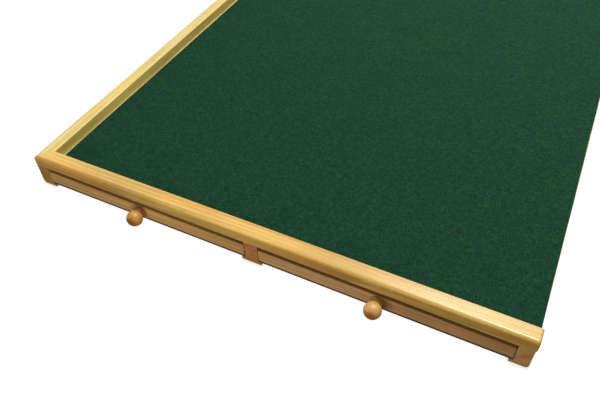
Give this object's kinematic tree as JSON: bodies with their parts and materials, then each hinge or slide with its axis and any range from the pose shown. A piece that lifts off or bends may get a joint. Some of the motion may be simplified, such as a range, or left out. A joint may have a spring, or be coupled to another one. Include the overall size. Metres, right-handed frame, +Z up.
{
  "type": "jigsaw puzzle table",
  "caption": "Shallow pine puzzle table with a felt tray, raised rails on three sides and flat sliding drawers with ball knobs below.",
  "frame": {"origin": "middle of the table's footprint, on the plane of the runners' soles", "axes": "+X to the right across the pictured end, +Y from the pictured end to the far end, +Z up"},
  "size_m": [0.54, 0.8, 0.0394],
  "materials": {
    "pine_rail": "satin lacquer",
    "pine_runner": "planed, end grain showing",
    "pine_drawer": "satin lacquer",
    "pine_knob": "turned, satin lacquer",
    "plywood": "pale face veneers, dark core",
    "hardboard": "smooth pressed fibre",
    "green_felt": "short dense nap",
    "steel": "zinc plated"
  },
  "bodies": {
    "table": {"front_rail": "pine_rail", "back_rail": "pine_rail", "left_rail": "pine_rail", "top_board": "plywood", "felt_cover": "green_felt", "left_runner": "pine_runner", "centre_runner": "pine_runner", "right_runner": "pine_runner", "left_drawer_stop": "pine_runner", "right_drawer_stop": "pine_runner", "runner_screws": "steel"},
    "front_left_drawer": {"front_left_drawer_front": "pine_drawer", "front_left_drawer_left_side": "pine_drawer", "front_left_drawer_right_side": "pine_drawer", "front_left_drawer_back": "pine_drawer", "front_left_drawer_bottom": "hardboard", "front_left_drawer_pins": "steel", "front_left_knob": "pine_knob", "front_left_knob_screw": "steel"},
    "front_right_drawer": {"front_right_drawer_front": "pine_drawer", "front_right_drawer_left_side": "pine_drawer", "front_right_drawer_right_side": "pine_drawer", "front_right_drawer_back": "pine_drawer", "front_right_drawer_bottom": "hardboard", "front_right_drawer_pins": "steel", "front_right_knob": "pine_knob", "front_right_knob_screw": "steel"},
    "rear_left_drawer": {"rear_left_drawer_front": "pine_drawer", "rear_left_drawer_left_side": "pine_drawer", "rear_left_drawer_right_side": "pine_drawer", "rear_left_drawer_back": "pine_drawer", "rear_left_drawer_bottom": "hardboard", "rear_left_drawer_pins": "steel", "rear_left_knob": "pine_knob", "rear_left_knob_screw": "steel"},
    "rear_right_drawer": {"rear_right_drawer_front": "pine_drawer", "rear_right_drawer_left_side": "pine_drawer", "rear_right_drawer_right_side": "pine_drawer", "rear_right_drawer_back": "pine_drawer", "rear_right_drawer_bottom": "hardboard", "rear_right_drawer_pins": "steel", "rear_right_knob": "pine_knob", "rear_right_knob_screw": "steel"}
  },
  "joints": [
    {"name": "front_left_drawer_slide", "type": "slide", "parent": "table", "child": "front_left_drawer", "axis": [0, -1, 0], "range_m": [0, 0.28]},
    {"name": "front_right_drawer_slide", "type": "slide", "parent": "table", "child": "front_right_drawer", "axis": [0, -1, 0], "range_m": [0, 0.28]},
    {"name": "rear_left_drawer_slide", "type": "slide", "parent": "table", "child": "rear_left_drawer", "axis": [0, 1, 0], "range_m": [0, 0.28]},
    {"name": "rear_right_drawer_slide", "type": "slide", "parent": "table", "child": "rear_right_drawer", "axis": [0, 1, 0], "range_m": [0, 0.28]}
  ]
}
